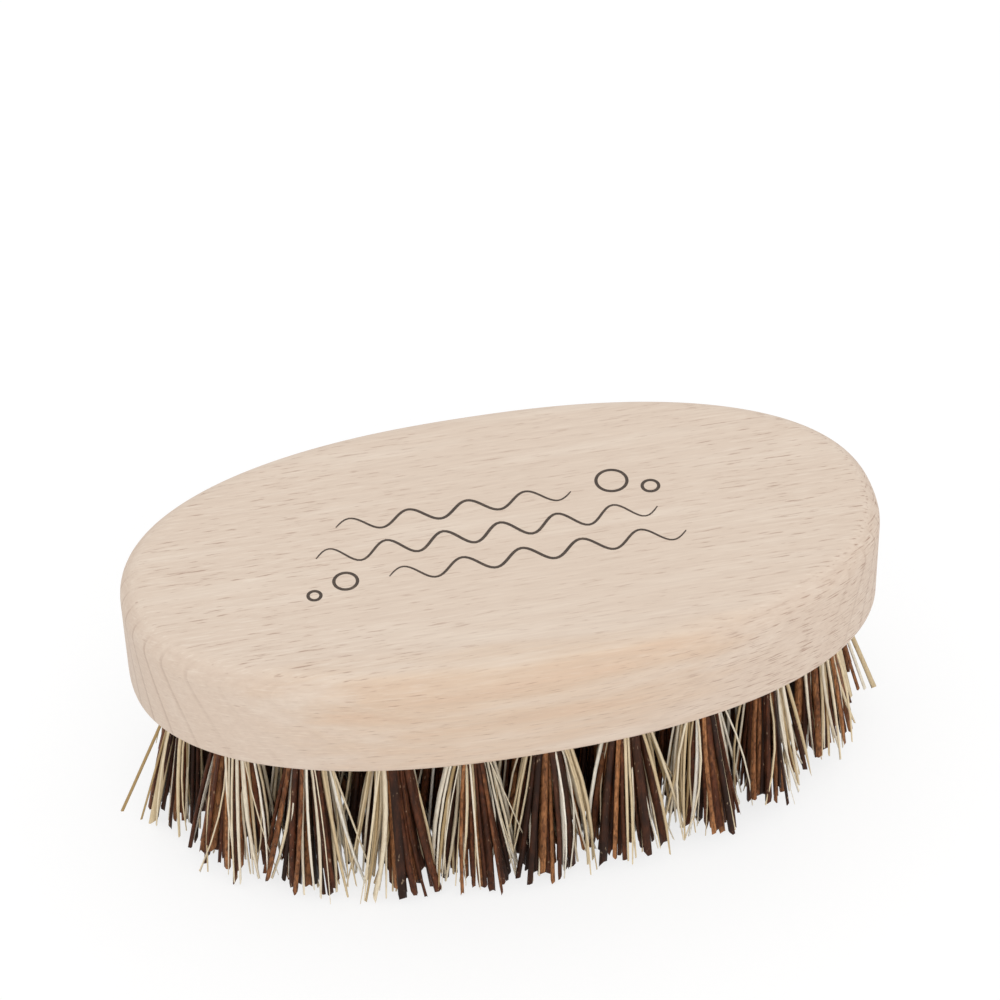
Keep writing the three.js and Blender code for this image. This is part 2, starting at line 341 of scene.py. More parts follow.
def sanded_beech(settings):
    """Beech, planed, sanded and left raw. The eye sees a pale pinkish wood with a dull, dry surface, faint
    bands along the grain, the short darker dashes of its rays, and ring lines that show best on the end
    grain."""
    material, tree = new_material("raw sanded beech")
    place = add_node(tree, "TexCoord").outputs["Object"]
    normal = add_node(tree, "NewGeometry").outputs["Normal"]
    facing = add_node(tree, "SeparateXYZ", inputs={0: normal}).outputs
    wobble, bands, grain, flat_rays = uneven_marks(tree, place, (WOBBLE, BANDS, GRAIN, FLAT_RAYS))

    # Growth rings round the pith
    tilted = add_node(tree, "Mapping", inputs={"Vector": place, "Rotation": (0, 0, GRAIN_TILT)})
    from_pith = add_node(tree, "VectorMath", SUBTRACT, {0: tilted, 1: PITH})
    across_grain = add_node(tree, "VectorMath", MULTIPLY, {0: from_pith, 1: ACROSS_GRAIN})
    radius = add_node(tree, "VectorMath", {"operation": "LENGTH"}, {0: across_grain}).outputs["Value"]
    rings = add_node(tree, "Math", {"operation": "DIVIDE"}, {0: radius, 1: RING_SPACING})
    wandering = add_node(tree, "Math", MULTIPLY_ADD, {0: wobble, 1: RING_WOBBLE, 2: rings})
    phase = add_node(tree, "Math", {"operation": "FRACT"}, {0: wandering})
    late_wood = add_node(tree, "MapRange", SMOOTH, {"Value": phase, **ramp(*LATE_WOOD)})
    endwise = add_node(tree, "Math", ABSOLUTE, {0: facing["X"]})
    end_grain = add_node(tree, "MapRange", inputs={"Value": endwise, **ramp(*END_GRAIN)})
    ring_shade = add_node(tree, "Math", MULTIPLY, {0: late_wood, 1: end_grain})

    # The warm growth along the front and its reddish patches
    off_band = add_node(tree, "Math", SUBTRACT, {0: bands, 1: BAND_MIDDLE})
    warm_limit = add_node(tree, "Math", MULTIPLY_ADD, {0: off_band, 1: WARM_WANDER, 2: radius})
    warmth = add_node(tree, "MapRange", SMOOTH, {"Value": warm_limit, **ramp(*WARM_GROWTH)})
    from_blush = add_node(tree, "Math", SUBTRACT, {0: radius, 1: BLUSH_RADIUS})
    off_blush = add_node(tree, "Math", ABSOLUTE, {0: from_blush})
    near_blush = add_node(tree, "MapRange", SMOOTH, {"Value": off_blush, **ramp(*BLUSH_REACH)})
    patches = add_node(tree, "MapRange", inputs={"Value": bands, **ramp(*BLUSH_PATCHES)})
    blushing = add_node(tree, "Math", MULTIPLY, {0: patches, 1: near_blush})
    band_shade = add_node(tree, "MapRange", inputs={"Value": bands, **ramp(*PALE_BANDS)})
    grain_shade = add_node(tree, "MapRange", inputs={"Value": grain, **ramp(*DARK_GRAIN)})

    # Rays: dashes along the grain on the flat faces, and round the rim on the sides
    from_middle = add_node(tree, "VectorMath", SUBTRACT, {0: place, 1: BLOCK_CENTRE})
    axes = add_node(tree, "SeparateXYZ", inputs={0: from_middle}).outputs
    rounder = add_node(tree, "Math", MULTIPLY, {0: axes["Y"], 1: BLOCK_SIZE.x / BLOCK_SIZE.y})
    bearing = add_node(tree, "Math", {"operation": "ARCTAN2"}, {0: rounder, 1: axes["X"]})
    along_rim = add_node(tree, "Math", MULTIPLY, {0: bearing, 1: SIDE_RADIUS})
    across_rays = add_node(
        tree, "VectorMath", {"operation": "DOT_PRODUCT"}, {0: from_middle, 1: ACROSS_RAYS}
    ).outputs["Value"]
    rim_place = add_node(tree, "CombineXYZ", inputs={"X": along_rim, "Y": across_rays})
    side_rays = uneven_marks(tree, rim_place, [SIDE_RAYS])[0]
    upright = add_node(tree, "Math", ABSOLUTE, {0: facing["Z"]})
    flatness = add_node(tree, "MapRange", SMOOTH, {"Value": upright, **ramp(*FLAT_FACES)})
    rays = add_node(tree, "Mix", inputs={MIX_FACTOR: flatness, NUMBER_A: side_rays, NUMBER_B: flat_rays})
    crowding = add_node(tree, "MapRange", SMOOTH, {"Value": facing["X"], **ramp(*CROWDED_RAYS)})
    crowded = add_node(tree, "Math", ADD, {0: rays, 1: crowding})
    from_plain = add_node(tree, "Math", SUBTRACT, {0: axes["X"], 1: PLAIN_MIDDLE})
    off_plain = add_node(tree, "Math", ABSOLUTE, {0: from_plain})
    ray_strength = add_node(tree, "MapRange", SMOOTH, {"Value": off_plain, **ramp(*RAY_STRENGTH)})
    sideways = add_node(tree, "Math", ABSOLUTE, {0: facing["Y"]})
    long_sides = add_node(tree, "MapRange", inputs={"Value": sideways, **ramp(*LONG_SIDES)})
    fleck_strength = add_node(tree, "Math", MULTIPLY, {0: ray_strength, 1: long_sides})
    dark_rays = add_node(tree, "MapRange", inputs={"Value": crowded, **ramp(*DARK_RAYS)})
    flecks = add_node(tree, "Math", MULTIPLY, {0: dark_rays, 1: fleck_strength})
    # Partly painted highlight: pale lines where the dark dashes are absent, standing in for the light that
    # catches the raised wood beside them
    pale_rays_and_highlights = add_node(tree, "MapRange", inputs={"Value": rays, **ramp(*PALE_RAYS_AND_HIGHLIGHTS)})
    pale_lines_and_highlights = add_node(tree, "Math", MULTIPLY, {0: pale_rays_and_highlights, 1: ray_strength})

    layers = (
        (warmth, settings.warm_wood),
        (blushing, settings.blush),
        (band_shade, settings.pale),
        (grain_shade, settings.ring),
        (ring_shade, settings.ring),
        (pale_lines_and_highlights, settings.pale),
        (flecks, settings.fleck),
    )
    figure = painted_over(tree, settings.wood, layers)
    # Painted shade: the walls and rounded edges are darkened by the side colour, against the stronger light
    # that the low lamp gives them
    painted_side_shade = painted_over(tree, settings.side, [(flatness, WHITE)])
    shaded = add_node(tree, "Mix", COLOUR_TIMES, {MIX_FACTOR: 1.0, COLOUR_A: figure, COLOUR_B: painted_side_shade})
    height = add_node(tree, "Math", SUBTRACT, {0: grain_shade, 1: flecks})
    pores = {"Height": height, "Distance": PORE_DEPTH, "Strength": PORE_STRENGTH}
    look = {
        "Base Color": shaded.outputs[COLOUR_RESULT],
        "Roughness": add_node(tree, "MapRange", inputs={"Value": grain, **ramp(*BEECH_ROUGHNESS)}),
        "IOR": PLANT_IOR,
        "Normal": add_node(tree, "Bump", inputs=pores),
    }
    return surfaced(material, look)


# Fibre surface, as sizes of the real stalks
STALK_STREAKS = Marks((0.26, 0.26, 9), 3.0, 0.65)
FIBRE_STREAKS = Marks((0.26, 0.26, 9))
DRIFT = Marks((1.5, 1.5, 7))  # slow changes of tone along a stalk
MOTTLE = Marks((0.45, 0.45, 0.9))
SPECKS = Marks((0.4, 0.4, 1.1), 1.0)
STREAK_DEPTH = 0.08 * MM
STREAK_STRENGTH = 0.9
STALK_ROUGHNESS = 0.55
STALK_SPECULAR = 0.2
FIBRE_ROUGHNESS = 0.42

# Where those marks begin and end, and how much they then show
TONE_DRIFT = (0.25, 0.75, -0.22, 0.22)
TO_MIDDLE_TONE = (0, 0.5)
TO_LIGHT_TONE = (0.5, 1)
DARK_STREAKS = (0.35, 0.62, 0.65, 0.0)
FAINT_STREAKS = (0.3, 0.6, 0.3, 0.0)
DARK_MOTTLE = (0.5, 0.68, 0.0, 0.6)
PALE_SPECKS = (0.69, 0.8, 0.0, 0.45)


def split_bassine(settings):
    """Bassine, split from palm stalks and cut. The eye sees stiff reddish-brown to black strips, streaked
    along their length, with a low sheen and a few pale specks where pith is torn out."""
    material, tree = new_material("split bassine stalk")
    place = add_node(tree, "TexCoord").outputs["Object"]
    own_tone = add_node(tree, "Attribute", {"attribute_name": "tone"}).outputs["Fac"]
    kinds = (DRIFT, STALK_STREAKS, MOTTLE, SPECKS)
    drift, streaks, mottle, specks = uneven_marks(tree, place, kinds)
    drifting = add_node(tree, "MapRange", inputs={"Value": drift, **ramp(*TONE_DRIFT)})
    tone = add_node(tree, "Math", ADD, {0: own_tone, 1: drifting})
    layers = (
        (tone, TO_MIDDLE_TONE, settings.stalk_mid),
        (tone, TO_LIGHT_TONE, settings.stalk_light),
        (streaks, DARK_STREAKS, settings.stalk_dark),
        (mottle, DARK_MOTTLE, settings.stalk_dark),
        (specks, PALE_SPECKS, settings.stalk_speck),
    )
    furrows = {"Height": streaks, "Distance": STREAK_DEPTH, "Strength": STREAK_STRENGTH}
    look = {
        "Base Color": painted_over(tree, settings.stalk_dark, ranged(tree, layers)),
        "Roughness": STALK_ROUGHNESS,
        "IOR": PLANT_IOR,
        "Specular IOR Level": STALK_SPECULAR,
        "Normal": add_node(tree, "Bump", inputs=furrows),
    }
    return surfaced(material, look)


def combed_tampico(settings):
    """Tampico, combed from agave leaves. The eye sees thin, smooth cream fibres, some tan, with a soft waxy
    sheen and little change along their length."""
    material, tree = new_material("combed tampico fibre")
    place = add_node(tree, "TexCoord").outputs["Object"]
    tone = add_node(tree, "Attribute", {"attribute_name": "tone"}).outputs["Fac"]
    streaks = uneven_marks(tree, place, [FIBRE_STREAKS])[0]
    layers = (
        (tone, TO_MIDDLE_TONE, settings.fibre_mid),
        (tone, TO_LIGHT_TONE, settings.fibre_light),
        (streaks, FAINT_STREAKS, settings.fibre_dark),
    )
    colour = painted_over(tree, settings.fibre_dark, ranged(tree, layers))
    look = {"Base Color": colour, "Roughness": FIBRE_ROUGHNESS, "IOR": PLANT_IOR}
    return surfaced(material, look)


DRAWING_LINES = Marks((0.15, 3, 0.15))
STEEL_ROUGHNESS = (0, 1, 0.3, 0.5)


def drawn_steel(settings):
    """Steel wire, drawn flat and galvanised. The eye sees grey metal with fine lines along the wire."""
    material, tree = new_material("galvanised flat wire")
    place = add_node(tree, "TexCoord").outputs["Object"]
    lines = uneven_marks(tree, place, [DRAWING_LINES])[0]
    roughness = add_node(tree, "MapRange", inputs={"Value": lines, **ramp(*STEEL_ROUGHNESS)})
    look = {"Base Color": opaque(settings.steel), "Metallic": 1.0, "Roughness": roughness}
    return surfaced(material, look)


INK_GRAIN = Marks((2.5, 0.25, 0.25))
INK_THINNING = (0.5, 0.8, 0.0, 0.4)
INK_ROUGHNESS = 0.7


def printing_ink(settings):
    """Oil-based ink, pad printed on raw wood. The eye sees a dull dark brown line that thins a little where
    the grain has drunk it in."""
    material, tree = new_material("pad printing ink")
    place = add_node(tree, "TexCoord").outputs["Object"]
    grain = uneven_marks(tree, place, [INK_GRAIN])[0]
    thinning = add_node(tree, "MapRange", inputs={"Value": grain, **ramp(*INK_THINNING)})
    colour = painted_over(tree, settings.ink, [(thinning, settings.thin_ink)])
    look = {"Base Color": colour, "Roughness": INK_ROUGHNESS, "IOR": PLANT_IOR}
    return surfaced(material, look)


def mesh_of(bm, name):
    """The mesh of a bmesh, which is freed."""
    mesh = bpy.data.meshes.new(name)
    bm.to_mesh(mesh)
    bm.free()
    return mesh


def new_piece(name, mesh, materials):
    """An object at the origin that holds a mesh and its materials."""
    piece = bpy.data.objects.new(name, mesh)
    bpy.context.scene.collection.objects.link(piece)
    for material in materials:
        mesh.materials.append(material)
    return piece


def raise_faces(bm, height):
    """Extrudes all faces upwards."""
    raised = bmesh.ops.extrude_face_region(bm, geom=bm.faces[:])["geom"]
    upper = [item for item in raised if isinstance(item, bmesh.types.BMVert)]
    bmesh.ops.translate(bm, verts=upper, vec=(0, 0, height))


def round_over(bm, edges, radius, steps):
    """Rounds edges over."""
    bmesh.ops.bevel(
        bm,
        geom=edges,
        offset=radius,
        offset_type="OFFSET",
        segments=steps,
        profile=0.5,
        affect="EDGES",
        material=-1,
    )


# A tuft's place: the mouth of its hole, how far the hole slants in X and Y for each metre up, and the way
# of its anchor, which is the way of the row
TuftPlace = namedtuple("TuftPlace", "mouth slant anchor_way")


def level_centre(node, level):
    """The middle of the CAD points of a node at one level."""
    points = [vert.co for vert in node.data.vertices if abs(vert.co.z - level) < LEVEL_REACH]
    if not points:
        raise RuntimeError(f"{node.name} has no points at {level:.4f} m")
    low = Vector(map(min, zip(*points)))
    high = Vector(map(max, zip(*points)))
    return (low + high) / 2


def tuft_place(name, hole_depth):
    """Reads a tuft's place from its packed root in the CAD model."""
    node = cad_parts[name]
    shallow = level_centre(node, UNDERSIDE + ROOT_RECESS)
    deep = level_centre(node, UNDERSIDE + hole_depth)
    slant = (deep - shallow) / (deep.z - shallow.z)
    mouth = shallow - slant * ROOT_RECESS
    sideways = Vector((-slant.y, slant.x, 0))
    anchor_way = sideways.normalized() if sideways.length > LEAST_SLANT else Vector((1, 0, 0))
    return TuftPlace(mouth, slant, anchor_way)


def slanting(place):
    """The transform that puts a shape drawn at the origin, mouth at z = 0, into a tuft's hole."""
    turn = math.atan2(place.anchor_way.y, place.anchor_way.x) - math.pi / 2
    shear = Matrix.Identity(4)
    shear[0][2] = place.slant.x
    shear[1][2] = place.slant.y
    return Matrix.Translation(place.mouth) @ shear @ Matrix.Rotation(turn, 4, "Z")


def rim_edges(bm, level):
    """The edges that lie all round at one level."""
    return [edge for edge in bm.edges if all(abs(vert.co.z - level) < LEVEL_REACH for vert in edge.verts)]


def rounded_oval(settings):
    """The block before drilling: an oval slab with a soft top edge and an eased bottom edge."""
    bm = bmesh.new()
    bmesh.ops.create_circle(bm, cap_ends=True, segments=OVAL_SIDES, radius=1)
    for vert in bm.verts:
        across = math.copysign(abs(vert.co.x) ** (2 / settings.oval_power), vert.co.x)
        up = math.copysign(abs(vert.co.y) ** (2 / settings.oval_power), vert.co.y)
        vert.co = BLOCK_CENTRE + Vector((across * settings.length / 2, up * settings.width / 2, 0))
        vert.co.z = UNDERSIDE
    raise_faces(bm, settings.thickness)
    top = UNDERSIDE + settings.thickness
    round_over(bm, rim_edges(bm, top), settings.top_edge, TOP_EDGE_STEPS)
    round_over(bm, rim_edges(bm, UNDERSIDE), settings.bottom_edge, BOTTOM_EDGE_STEPS)
    flats = [face for face in bm.faces if len(face.verts) == OVAL_SIDES]
    bmesh.ops.inset_individual(bm, faces=flats, thickness=FLAT_RIM)
    bmesh.ops.recalc_face_normals(bm, faces=bm.faces)
    return bm


def drill_shapes(settings, places):
    """What the drill takes out of the block, with a cone at the end of each hole."""
    bm = bmesh.new()
    for place in places:
        made = bmesh.ops.create_cone(
            bm,
            cap_ends=True,
            segments=HOLE_SIDES,
            radius1=settings.hole_diameter / 2,
            radius2=settings.hole_diameter / 2,
            depth=settings.hole_depth + DRILL_RUN_IN,
        )["verts"]
        bmesh.ops.translate(bm, verts=made, vec=(0, 0, (settings.hole_depth - DRILL_RUN_IN) / 2))
        ends = {face for vert in made for face in vert.link_faces if len(face.verts) == HOLE_SIDES}
        deep = max(ends, key=lambda face: face.calc_center_median().z)
        point = bmesh.ops.poke(bm, faces=[deep])["verts"]
        bmesh.ops.translate(bm, verts=point, vec=(0, 0, settings.drill_point))
        bmesh.ops.transform(bm, verts=made + point, matrix=slanting(place))
    bmesh.ops.recalc_face_normals(bm, faces=bm.faces)
    return bm


def cut_with(piece, cutter):
    """Cuts one object out of another, applies the cut and removes the cutter."""
    cut = piece.modifiers.new("drilling", "BOOLEAN")
    cut.operation = "DIFFERENCE"
    cut.solver = "EXACT"
    cut.object = cutter
    evaluated = piece.evaluated_get(bpy.context.evaluated_depsgraph_get())
    drilled = bpy.data.meshes.new_from_object(evaluated)
    piece.modifiers.clear()
    plain = piece.data
    piece.data = drilled
    bpy.data.meshes.remove(plain)
    bpy.data.objects.remove(cutter)


class BRUSH_OT_wood_block(bpy.types.Operator):
    """Builds the oval beech block and drills a hole for each tuft"""

    bl_idname = "mussel_brush.wood_block"
    bl_label = "Wood block"

    def execute(self, context):
        settings = context.scene.brush_block
        places = [tuft_place(name, settings.hole_depth) for name in TUFT_NODES]
        block = new_piece("beech_block", mesh_of(rounded_oval(settings), "beech_block"), [])
        cutter = new_piece("drill_shapes", mesh_of(drill_shapes(settings, places), "drill_shapes"), [])
        cut_with(block, cutter)
        block.data.name = "beech_block"
        block.data.materials.clear()
        block.data.materials.append(sanded_beech(settings))
        block.data.shade_smooth()
        block.data.set_sharp_from_angle(angle=SHARP_ANGLE)
        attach(block, BODY)
        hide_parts("wood_block")
        return {"FINISHED"}


class BRUSH_OT_wire_anchors(bpy.types.Operator):
    """Builds the flat wire anchor in each hole"""

    bl_idname = "mussel_brush.wire_anchors"
    bl_label = "Wire anchors"

    def execute(self, context):
        settings = context.scene.brush_anchors
        size = Matrix.Diagonal((settings.thickness, settings.length, settings.width, 1))
        lift = Matrix.Translation((0, 0, settings.depth))
        hole_depth = context.scene.brush_block.hole_depth
        bm = bmesh.new()
        for name in TUFT_NODES:
            in_hole = slanting(tuft_place(name, hole_depth))
            bmesh.ops.create_cube(bm, size=1, matrix=in_hole @ lift @ size)
        round_over(bm, bm.edges[:], settings.thickness / 4, ANCHOR_EDGE_STEPS)
        anchors = new_piece("wire_anchors", mesh_of(bm, "wire_anchors"), [drawn_steel(settings)])
        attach(anchors, BODY)
        return {"FINISHED"}


# One fibre: its middle line from the root through the mouth to the tip, its sideways bow, half its width
# and thickness, how much thinner its tip is, how its section is turned and twists, the slope and
# raggedness of its cut end, and its tone, from the darkest at 0 to the lightest at 1
Fibre = namedtuple(
    "Fibre", "root mouth tip bow half_width half_thickness taper turn twist cut ragged tone"
)

# How a tuft is mixed and how far it fans out at its tips, along the row and across it
TuftMix = namedtuple("TuftMix", "stalks fibres along across")

# The two kinds of fibre, as their template and their material
STALK, TAMPICO = 0, 1

# How the two kinds vary. Widths are shares of the mean width, and flatness is thickness over width.
STALK_WIDTH_SPREAD = (0.6, 1.65)
STALK_FLATNESS = (0.4, 0.9)
FIBRE_WIDTH_SPREAD = (0.65, 1.45)
FIBRE_FLATNESS = (0.7, 1.0)
STALK_WANDER = 0.35 * MM  # how far a tip strays from its place in the fan
FIBRE_WANDER = 0.75 * MM
STALK_BOW = 0.22 * MM
FIBRE_BOW = 0.75 * MM
STALK_SHORTFALL = (0.5 * MM, 2.8 * MM)  # how far tips stay above the floor
FIBRE_SHORTFALL = (0.1 * MM, 2.7 * MM)
STALK_RAGGED = 0.32 * MM
FIBRE_RAGGED = 0.1 * MM
FIBRE_TAPER = 0.45  # share of its width that a tampico fibre loses at its tip
TAPER_POWER = 4  # how late along the fibre that happens
FAN_SPREAD = (0.85, 1.15)  # how far a fibre follows the fan of its tuft
ROOT_GATHER = 0.35  # how much closer the fibres lie at the root than at the mouth
TWIST_SPREAD = 0.5  # radians along a fibre
CUT_SLOPE = 0.55  # how much a cut end slopes
LOWEST_TIP = 0.05 * MM
STRAY_SHARE = 0.08
STRAY_ALONG = 3.4 * MM  # how far strays go astray along the row, and across it
STRAY_ACROSS = 1.8 * MM
STRAY_WIDTH = 0.65  # of a fibre's width
BLADE_SHARE = 0.13  # tampico that is left as flat blades
BLADE_WIDTH = (1.5, 2.6)  # in fibre widths
BROKEN_SHARE = 0.015
BROKEN_SHORTFALL = (7 * MM, 18 * MM)
TUFT_TONES = (0.22, 0.5)  # of a tuft's stalks
STALK_TONE_SPREAD = 0.2
LIGHT_SHARE = 0.2  # stalks that are split from paler wood
LIGHT_TONES = (0.65, 1.0)
TONE_RISE = 0.08  # how much lighter the stalks are at the +X end
FIBRE_TONES = (0, 1, 0.75)  # lowest, highest and most common
CORE_OFFSET = 0.45  # how far along the row a tuft's stalks may gather, as a share of its radius
CORE_SPREAD = (0.2, 0.7)  # how loosely they gather
SEED_STEP = 1000  # keeps the random draws of each tuft apart

# Fibres that lean out of a tuft past the end of the block: how far the tip is from the middle of the mouth
# in X and Y, and over the floor, the width and the tone
EndStray = namedtuple("EndStray", "out aside height width tone")
END_STRAYS = {
    "outer_tuft_11": (
        EndStray(-12.9 * MM, -1.5 * MM, 3.0 * MM, 0.6 * MM, 0.05),
        EndStray(-10.2 * MM, -1.7 * MM, 0.5 * MM, 0.4 * MM, 0.1),
        EndStray(-8.5 * MM, -2.5 * MM, 0.5 * MM, 1.5 * MM, 0.4),
    ),
    "outer_tuft_01": (
        EndStray(10.2 * MM, -4.9 * MM, 3.0 * MM, 0.85 * MM, 0.35),
        EndStray(8.7 * MM, -4.9 * MM, 3.0 * MM, 0.55 * MM, 0.8),
        EndStray(5.4 * MM, -6.4 * MM, 3.0 * MM, 1.8 * MM, 0.5),
    ),
}
END_STRAY_THICKNESS = 0.3 * MM
END_STRAY_EDGE = 0.75  # how far from the middle of the mouth one leaves, as a share of the tuft's radius
END_STRAY_CUT = 0.3


def fibre_template(name, sides, kind):
    """A straight fibre of unit radius and length with the rings that let it bend."""
    bm = bmesh.new()
    bmesh.ops.create_cone(bm, cap_ends=True, segments=sides, radius1=1, radius2=1, depth=1)
    bmesh.ops.translate(bm, verts=bm.verts, vec=(0, 0, 0.5))
    uprights = [edge for edge in bm.edges if abs(edge.verts[0].co.z - edge.verts[1].co.z) > 0.5]
    bmesh.ops.subdivide_edges(bm, edges=uprights, cuts=FIBRE_STEPS - 1, use_grid_fill=True)
    for face in bm.faces:
        face.material_index = kind
        face.smooth = len(face.verts) == 4
    for edge in bm.edges:
        edge.smooth = all(face.smooth for face in edge.link_faces)
    return mesh_of(bm, name)


def lay_fibre(bm, template, tone_layer, draw, fibre):
    """Adds one fibre, bent along its middle line, with a ragged cut end."""
    first = len(bm.verts)
    bm.from_mesh(template)
    bm.verts.ensure_lookup_table()
    for vert in bm.verts[first:]:
        across, through, share = vert.co
        if share <= MOUTH_SHARE:
            middle = fibre.root.lerp(fibre.mouth, share / MOUTH_SHARE)
        else:
            free = (share - MOUTH_SHARE) / (1 - MOUTH_SHARE)
            middle = fibre.mouth.lerp(fibre.tip, free) + fibre.bow * (4 * free * (1 - free))
        angle = fibre.turn + fibre.twist * share
        kept = 1 - fibre.taper * share**TAPER_POWER
        wide = Vector((math.cos(angle), math.sin(angle), 0)) * (across * fibre.half_width * kept)
        thick = Vector((-math.sin(angle), math.cos(angle), 0)) * (through * fibre.half_thickness * kept)
        vert.co = middle + wide + thick
        if share > 1 - MOUTH_SHARE / 2:
            slope = fibre.cut * across * fibre.half_width + draw.gauss(0, fibre.ragged)
            vert.co.z = max(LOWEST_TIP, vert.co.z + slope)
        vert[tone_layer] = fibre.tone


def drawn_fibre(draw, settings, place, mix, spot, is_stalk, tuft_tone):
    """Draws one fibre of a tuft. The spot is its share of the tuft's radius and its angle."""
    share, angle = spot
    way = Vector((math.cos(angle), math.sin(angle), 0))
    if is_stalk:
        half_width = settings.stalk_width / 2 * draw.uniform(*STALK_WIDTH_SPREAD)
        half_thickness = half_width * draw.uniform(*STALK_FLATNESS)
        wander, bow, ragged = STALK_WANDER, STALK_BOW, STALK_RAGGED
        shortfall = draw.uniform(*STALK_SHORTFALL)
        tone = tuft_tone + draw.gauss(0, STALK_TONE_SPREAD)
        if draw.random() < LIGHT_SHARE:
            tone = draw.uniform(*LIGHT_TONES)
    else:
        half_width = settings.fibre_width / 2 * draw.uniform(*FIBRE_WIDTH_SPREAD)
        half_thickness = half_width * draw.uniform(*FIBRE_FLATNESS)
        wander, bow, ragged = FIBRE_WANDER, FIBRE_BOW, FIBRE_RAGGED
        shortfall = draw.triangular(*FIBRE_SHORTFALL)
        tone = draw.triangular(*FIBRE_TONES)
        if draw.random() < BLADE_SHARE:
            half_width *= draw.uniform(*BLADE_WIDTH)
    row_way = place.anchor_way
    out_way = Vector((row_way.y, -row_way.x, 0))
    fan = draw.uniform(*FAN_SPREAD)
    along = share * way.dot(row_way) * fan * mix.along + draw.gauss(0, wander)
    across = share * way.dot(out_way) * fan * mix.across + draw.gauss(0, wander)
    if not is_stalk and draw.random() < STRAY_SHARE:
        along += draw.gauss(0, STRAY_ALONG)
        across += draw.gauss(0, STRAY_ACROSS)
        half_width *= STRAY_WIDTH
        half_thickness *= STRAY_WIDTH
    if is_stalk and draw.random() < BROKEN_SHARE:
        shortfall = draw.uniform(*BROKEN_SHORTFALL)
    off_middle = share * settings.mouth_radius
    mouth = place.mouth + way * off_middle
    trim_rise = settings.trim_rise * max(0, place.mouth.x) / HALF_LENGTH
    full = mouth.z
    reach = full - shortfall - trim_rise
    at_trim = place.mouth - place.slant * full + row_way * along + out_way * across
    return Fibre(
        root=mouth + place.slant * settings.root_depth - way * (off_middle * ROOT_GATHER),
        mouth=mouth,
        tip=mouth.lerp(at_trim, reach / full),
        bow=Vector((draw.gauss(0, bow), draw.gauss(0, bow), 0)),
        half_width=half_width,
        half_thickness=half_thickness,
        taper=0 if is_stalk else FIBRE_TAPER,
        turn=draw.uniform(0, FULL_TURN),
        twist=draw.gauss(0, TWIST_SPREAD),
        cut=draw.gauss(0, CUT_SLOPE),
        ragged=ragged,
        tone=min(1, max(0, tone)),
    )


def end_stray(settings, place, stray):
    """A fibre that leans out of its tuft, with its broad side to the front."""
    lean = Vector((stray.out, stray.aside, 0))
    mouth = place.mouth + lean.normalized() * (settings.mouth_radius * END_STRAY_EDGE)
    tip = place.mouth + lean
    tip.z = stray.height
    return Fibre(
        root=mouth + place.slant * settings.root_depth,
        mouth=mouth,
        tip=tip,
        bow=Vector(),
        half_width=stray.width / 2,
        half_thickness=END_STRAY_THICKNESS / 2,
        taper=0,
        turn=0,
        twist=0,
        cut=END_STRAY_CUT,
        ragged=FIBRE_RAGGED,
        tone=stray.tone,
    )


def tuft_mesh(node, number, settings, place, mix, templates):
    """One tuft. Fibres are spread like the seeds of a sunflower. The stalks gather in its core, flanked
    along the row by the finer fibres."""
    draw = random.Random(settings.seed * SEED_STEP + number)
    count = mix.stalks + mix.fibres
    spin = draw.uniform(0, FULL_TURN)
    spots = [(math.sqrt((index + 0.5) / count), spin + index * GOLDEN_ANGLE) for index in range(count)]
    row_angle = math.atan2(place.anchor_way.y, place.anchor_way.x)
    core = draw.uniform(-CORE_OFFSET, CORE_OFFSET)
    spread = draw.uniform(*CORE_SPREAD)
    from_core = [
        abs(share * math.cos(angle - row_angle) - core) + draw.gauss(0, spread) for share, angle in spots
    ]
    stalks = set(sorted(range(count), key=lambda index: from_core[index])[: mix.stalks])
    tuft_tone = draw.uniform(*TUFT_TONES) + TONE_RISE * place.mouth.x / HALF_LENGTH
    bm = bmesh.new()
    tone_layer = bm.verts.layers.float.new("tone")
    for index, spot in enumerate(spots):
        is_stalk = index in stalks
        fibre = drawn_fibre(draw, settings, place, mix, spot, is_stalk, tuft_tone)
        lay_fibre(bm, templates[STALK if is_stalk else TAMPICO], tone_layer, draw, fibre)
    for stray in END_STRAYS.get(node, ()):
        lay_fibre(bm, templates[TAMPICO], tone_layer, draw, end_stray(settings, place, stray))
    return mesh_of(bm, node + "_fibres")


class BRUSH_OT_fibre_tufts(bpy.types.Operator):
    """Builds a tuft of bassine stalks and tampico fibres in each hole"""

    bl_idname = "mussel_brush.fibre_tufts"
    bl_label = "Fibre tufts"

    def execute(self, context):
        settings = context.scene.brush_tufts
        hole_depth = context.scene.brush_block.hole_depth
        materials = [split_bassine(settings), combed_tampico(settings)]
        templates = [
            fibre_template("stalk_template", STALK_SIDES, STALK),
            fibre_template("fibre_template", FIBRE_SIDES, TAMPICO),
        ]
        tips = settings.inner_tips
        outer_mix = TuftMix(settings.stalks, settings.fibres, settings.tip_along, settings.tip_across)
        # Partly painted shade: the inner tufts are mostly dark stalks, which darken the gaps between the
        # outer tufts as their shade would
        inner_mix = TuftMix(settings.inner_stalks, settings.inner_fibres, tips, tips)
        for number, node in enumerate(TUFT_NODES):
            mix = outer_mix if node.startswith("outer") else inner_mix
            place = tuft_place(node, hole_depth)
            mesh = tuft_mesh(node, number, settings, place, mix, templates)
            tuft = new_piece(node + "_fibres", mesh, materials)
            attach(tuft, BODY)
            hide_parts(node)
        for template in templates:
            bpy.data.meshes.remove(template)
        return {"FINISHED"}


